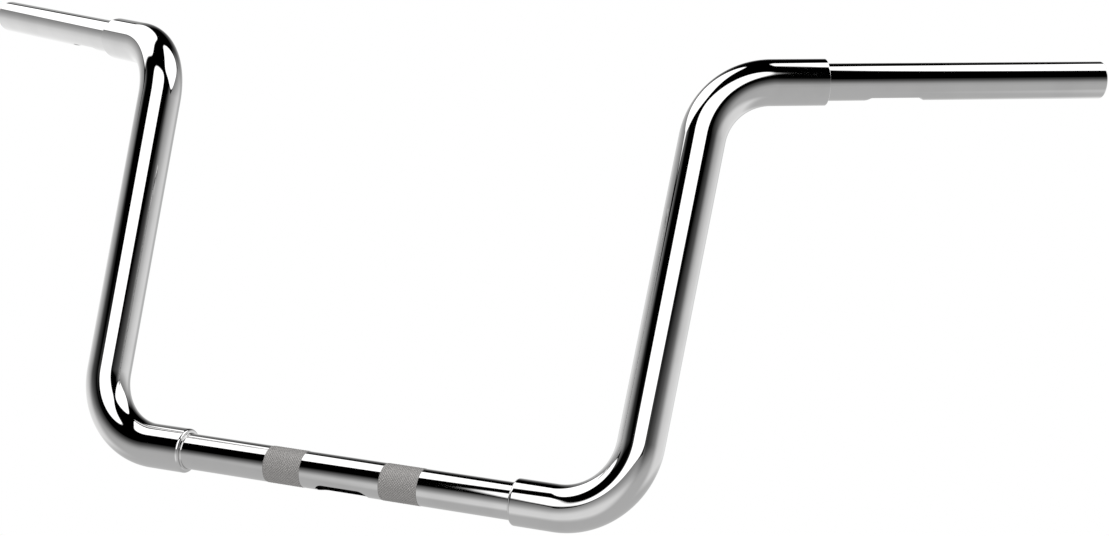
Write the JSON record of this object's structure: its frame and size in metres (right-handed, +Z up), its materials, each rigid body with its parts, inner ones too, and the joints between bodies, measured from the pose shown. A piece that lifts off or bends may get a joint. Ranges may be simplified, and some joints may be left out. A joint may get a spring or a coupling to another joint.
{
  "type": "motorcycle handlebar",
  "caption": "Chrome stepped cruiser handlebar: fat bent risers with thinner knurled clamp tube and swept-back grip tubes.",
  "frame": {"origin": "middle of the clamp tube's axis, half way between the two knurled clamp bands", "axes": "+X along the clamp tube, +Y back to the rider, +Z up, with the grips level as the bar is ridden"},
  "size_m": [0.9266, 0.2876, 0.2987],
  "materials": {
    "chrome_plate": "mirror chrome plate on polished steel tube"
  },
  "bodies": {
    "root": {"clamp_tube": "chrome_plate", "left_riser": "chrome_plate", "right_riser": "chrome_plate", "left_grip_tube": "chrome_plate", "right_grip_tube": "chrome_plate"}
  },
  "joints": []
}
